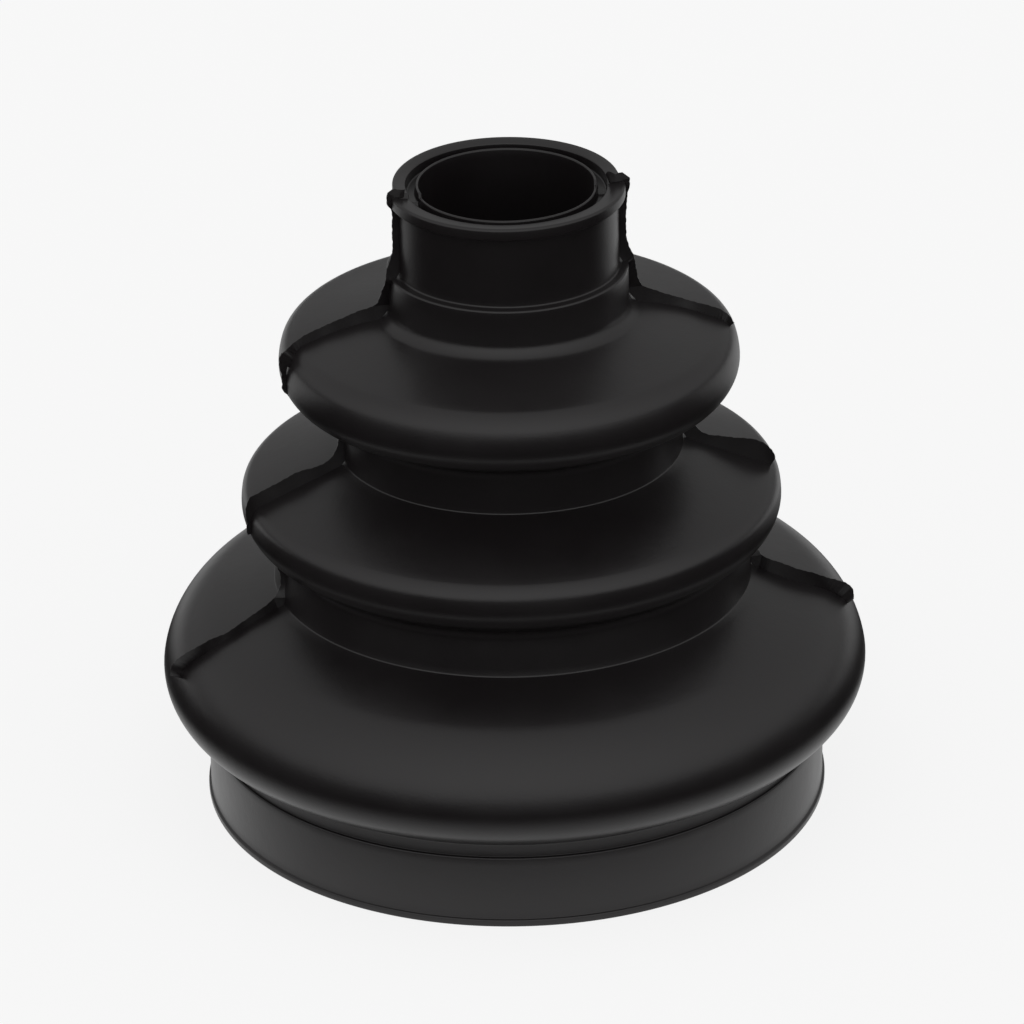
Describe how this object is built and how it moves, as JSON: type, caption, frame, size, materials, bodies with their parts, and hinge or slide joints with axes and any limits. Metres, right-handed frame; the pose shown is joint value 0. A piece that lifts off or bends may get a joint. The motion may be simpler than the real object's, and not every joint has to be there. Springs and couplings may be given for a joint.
{
  "type": "bellows boot",
  "caption": "Moulded rubber bellows boot: a wide clamp collar, three round folds that get smaller upwards, and a narrow clamp collar with a beaded rim.",
  "frame": {"origin": "centre of the flat foot of the big collar, on the boot's axis", "axes": "+Z along the boot's axis from the big end to the small end; +X towards the mould line on the right of the picture; -Y towards the camera"},
  "size_m": [0.1009, 0.0998, 0.0925],
  "materials": {
    "rubber": "black chloroprene, satin as moulded"
  },
  "bodies": {
    "root": {"bellows_boot": "rubber"}
  },
  "joints": []
}
